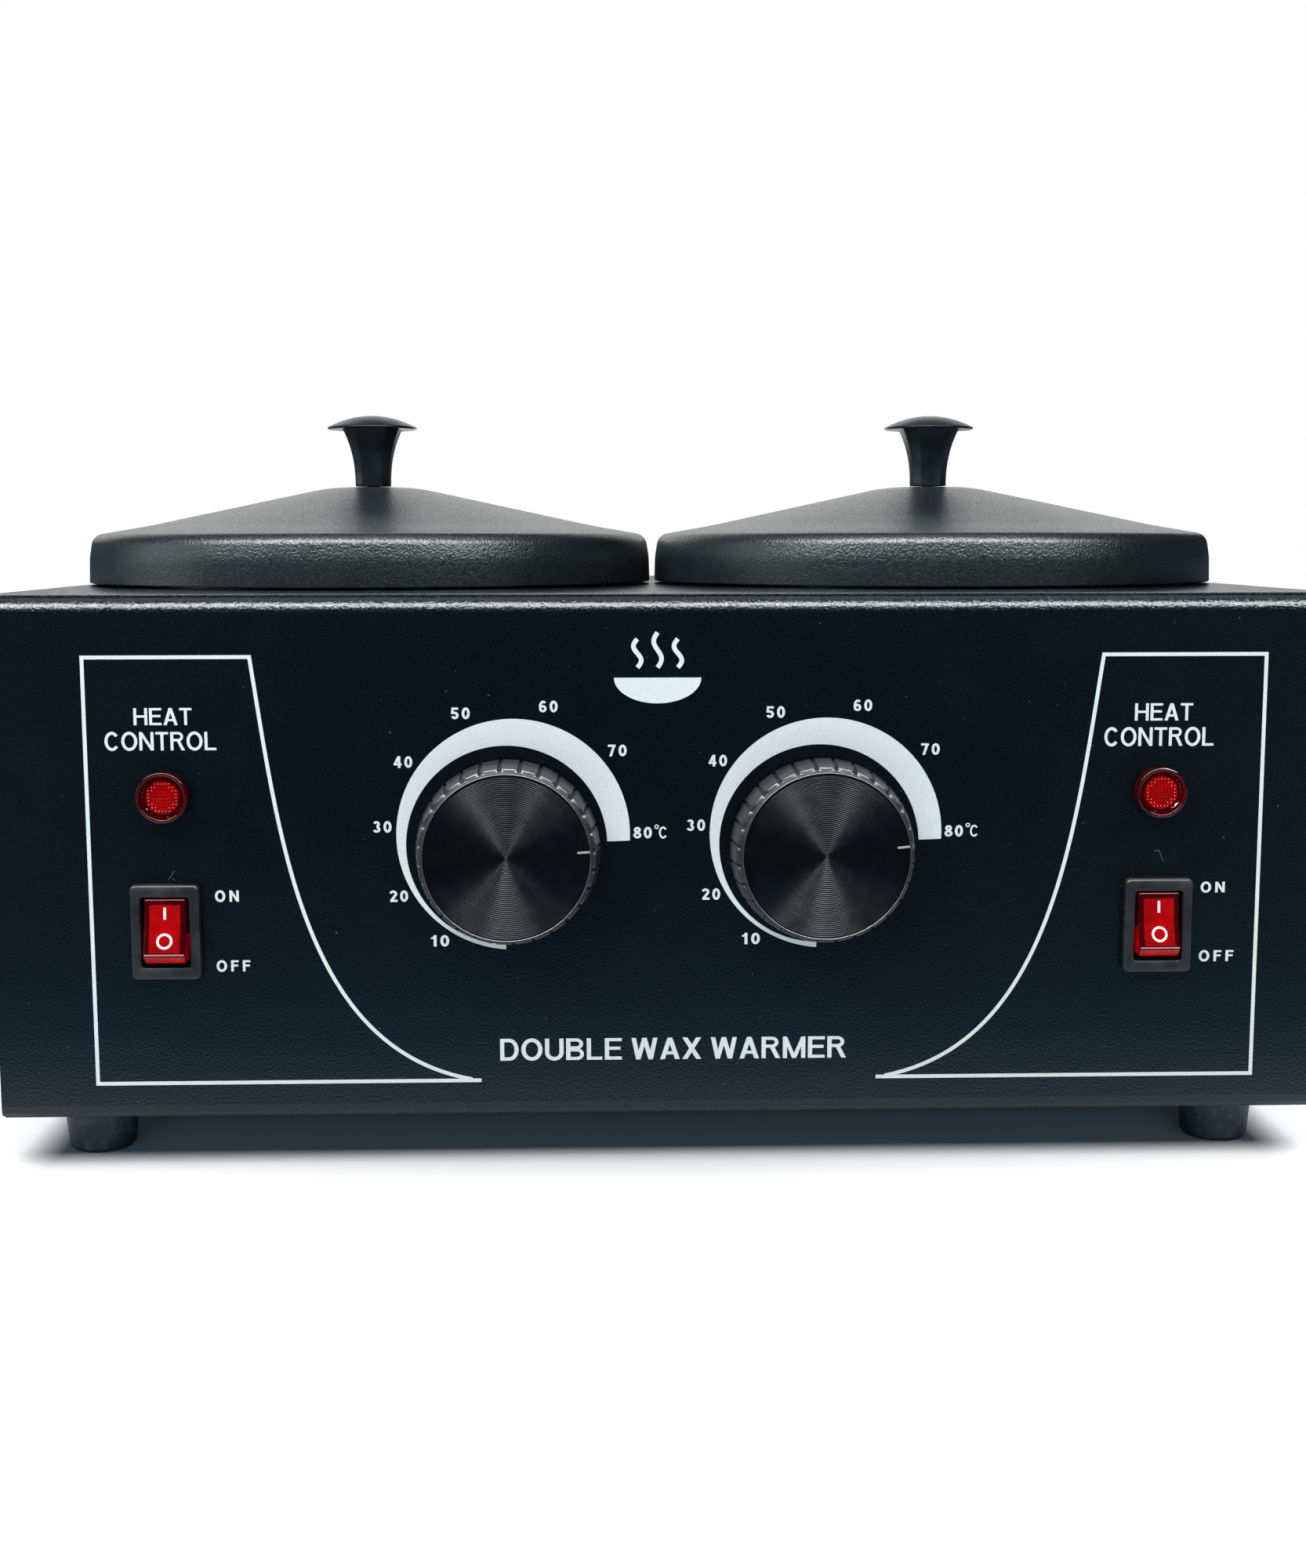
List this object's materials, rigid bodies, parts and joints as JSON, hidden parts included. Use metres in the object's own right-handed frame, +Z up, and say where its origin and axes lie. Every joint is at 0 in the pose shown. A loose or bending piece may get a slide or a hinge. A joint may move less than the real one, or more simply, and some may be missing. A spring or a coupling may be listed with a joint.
{
  "type": "double wax warmer",
  "caption": "Box-shaped wax warmer with two heated wells, removable pots under lift-off lids, dial thermostats, pilot lamps and rocker switches.",
  "frame": {"origin": "on the table, under the middle of the whole object's box", "axes": "+X to the right of someone facing the front panel, +Y to the back, +Z up"},
  "size_m": [0.294, 0.2228, 0.1704],
  "materials": {
    "case_coat": "fine pebble-textured black powder coat with a blue-green tint",
    "lid_coat": "dark grey powder coat, finely textured, satin",
    "lid_knob_plastic": "black moulded plastic, satin to gloss",
    "knob_plastic": "black moulded plastic, ribbed",
    "spun_metal": "black-anodised spun disc with fine concentric grooves",
    "silver_mark": "bright silver inlay",
    "switch_black": "black moulded plastic, matte",
    "rocker_red": "translucent red plastic",
    "lamp_red": "translucent red lens",
    "foot_rubber": "black rubber, slightly dusty",
    "well_aluminium": "drawn aluminium",
    "pot_aluminium": "spun aluminium, bright",
    "heater_steel": "mica heater band in a steel jacket",
    "glass_wool": "needled glass-wool sleeve",
    "brass_parts": "nickel-free brass and copper",
    "zinc_steel": "zinc-plated steel",
    "black_plastic": "black moulded plastic",
    "block_plastic": "white nylon",
    "lead_sleeve": "silicone-sleeved lead"
  },
  "bodies": {
    "housing": {"housing_cover": "case_coat", "side_panel_left": "case_coat", "side_panel_right": "case_coat", "base_pan": "case_coat", "foot_front_left": "foot_rubber", "foot_front_right": "foot_rubber", "foot_back_left": "foot_rubber", "foot_back_right": "foot_rubber", "foot_screw_front_left": "zinc_steel", "foot_screw_front_right": "zinc_steel", "foot_screw_back_left": "zinc_steel", "foot_screw_back_right": "zinc_steel", "cover_screw_lower_left": "zinc_steel", "cover_screw_lower_right": "zinc_steel", "cover_screw_upper_left": "zinc_steel", "cover_screw_upper_right": "zinc_steel", "terminal_block": "block_plastic", "cord_gland": "black_plastic", "well_left": "well_aluminium", "heater_band_left": "heater_steel", "insulation_left": "glass_wool", "thermostat_left": "black_plastic", "sensing_bulb_left": "brass_parts", "lamp_lens_left": "lamp_red", "lamp_body_left": "black_plastic", "lamp_nut_left": "zinc_steel", "switch_body_left": "switch_black", "supply_lead_left": "lead_sleeve", "switch_lead_left": "lead_sleeve", "heater_lead_left": "lead_sleeve", "well_right": "well_aluminium", "heater_band_right": "heater_steel", "insulation_right": "glass_wool", "thermostat_right": "black_plastic", "sensing_bulb_right": "brass_parts", "lamp_lens_right": "lamp_red", "lamp_body_right": "black_plastic", "lamp_nut_right": "zinc_steel", "switch_body_right": "switch_black", "supply_lead_right": "lead_sleeve", "switch_lead_right": "lead_sleeve", "heater_lead_right": "lead_sleeve"},
    "pot_left": {"pot_left": "pot_aluminium"},
    "lid_left": {"lid_left": "lid_coat", "lid_knob_left": "lid_knob_plastic", "lid_screw_left": "zinc_steel"},
    "knob_left": {"control_knob_left": "knob_plastic", "knob_face_left": "spun_metal", "knob_pointer_left": "silver_mark", "thermostat_shaft_left": "zinc_steel"},
    "rocker_left": {"rocker_left": "rocker_red"},
    "pot_right": {"pot_right": "pot_aluminium"},
    "lid_right": {"lid_right": "lid_coat", "lid_knob_right": "lid_knob_plastic", "lid_screw_right": "zinc_steel"},
    "knob_right": {"control_knob_right": "knob_plastic", "knob_face_right": "spun_metal", "knob_pointer_right": "silver_mark", "thermostat_shaft_right": "zinc_steel"},
    "rocker_right": {"rocker_right": "rocker_red"}
  },
  "joints": [
    {"name": "pot_left_lift", "type": "slide", "parent": "housing", "child": "pot_left", "axis": [0, 0, 1], "range_m": [0, 0.09]},
    {"name": "lid_left_lift", "type": "slide", "parent": "pot_left", "child": "lid_left", "axis": [0, 0, 1], "range_m": [0, 0.06]},
    {"name": "knob_left_turn", "type": "hinge", "parent": "housing", "child": "knob_left", "pos_m": [-0.0343, -0.099, 0.0709], "axis": [0, -1, 0], "range_deg": [0, 270]},
    {"name": "rocker_left_tip", "type": "hinge", "parent": "housing", "child": "rocker_left", "pos_m": [-0.1092, -0.0958, 0.0533], "axis": [1, 0, 0], "range_deg": [0, 24]},
    {"name": "pot_right_lift", "type": "slide", "parent": "housing", "child": "pot_right", "axis": [0, 0, 1], "range_m": [0, 0.09]},
    {"name": "lid_right_lift", "type": "slide", "parent": "pot_right", "child": "lid_right", "axis": [0, 0, 1], "range_m": [0, 0.06]},
    {"name": "knob_right_turn", "type": "hinge", "parent": "housing", "child": "knob_right", "pos_m": [0.0343, -0.099, 0.0709], "axis": [0, -1, 0], "range_deg": [0, 270]},
    {"name": "rocker_right_tip", "type": "hinge", "parent": "housing", "child": "rocker_right", "pos_m": [0.1092, -0.0958, 0.0533], "axis": [1, 0, 0], "range_deg": [0, 24]}
  ]
}
